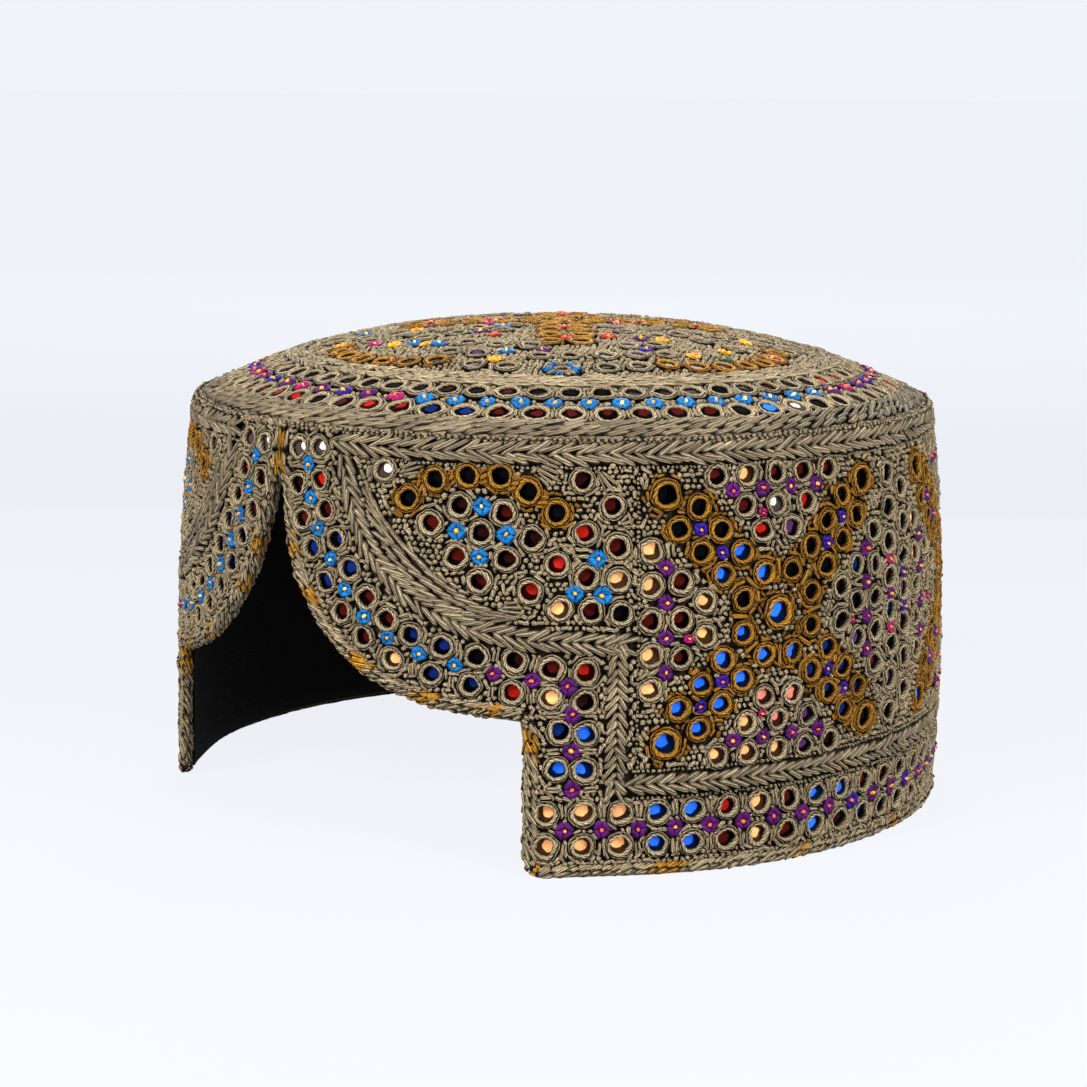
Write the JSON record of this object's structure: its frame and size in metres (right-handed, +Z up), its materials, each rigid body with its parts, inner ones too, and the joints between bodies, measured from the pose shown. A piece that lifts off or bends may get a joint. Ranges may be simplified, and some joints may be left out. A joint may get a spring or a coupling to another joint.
{
  "type": "sindhi cap",
  "caption": "Round embroidered cloth cap with straight sides, a low domed crown, an open two-lobed front, corded edges and mirror-work panels of star shapes.",
  "frame": {"origin": "middle of the outline on the floor, level with the rim the cap stands on", "axes": "+Z up through the crown, -Y out of the open front, +X to the wearer's left"},
  "size_m": [0.1932, 0.1916, 0.1152],
  "materials": {
    "dark_cloth": "matte close-woven cloth",
    "black_lining": "matte woven lining",
    "khaki_thread": "soft sheen, twisted thread",
    "gold_thread": "soft sheen, twisted thread",
    "mirror_glass": "polished small mirrors"
  },
  "bodies": {
    "root": {"side_band": "dark_cloth", "crown": "dark_cloth", "side_lining": "black_lining", "crown_lining": "black_lining", "edge_cord": "khaki_thread", "crown_seam_cord": "khaki_thread", "crown_ring_cord": "khaki_thread", "band_top_braid": "khaki_thread", "lower_braid": "khaki_thread", "lobe_braid_left": "khaki_thread", "lobe_braid_right": "khaki_thread", "star_ring_1": "gold_thread", "star_ring_2": "gold_thread", "star_ring_3": "gold_thread", "star_ring_4": "gold_thread", "star_ring_5": "gold_thread", "star_mirror_1": "mirror_glass", "star_mirror_2": "mirror_glass", "star_mirror_3": "mirror_glass", "star_mirror_4": "mirror_glass", "star_mirror_5": "mirror_glass"}
  },
  "joints": []
}
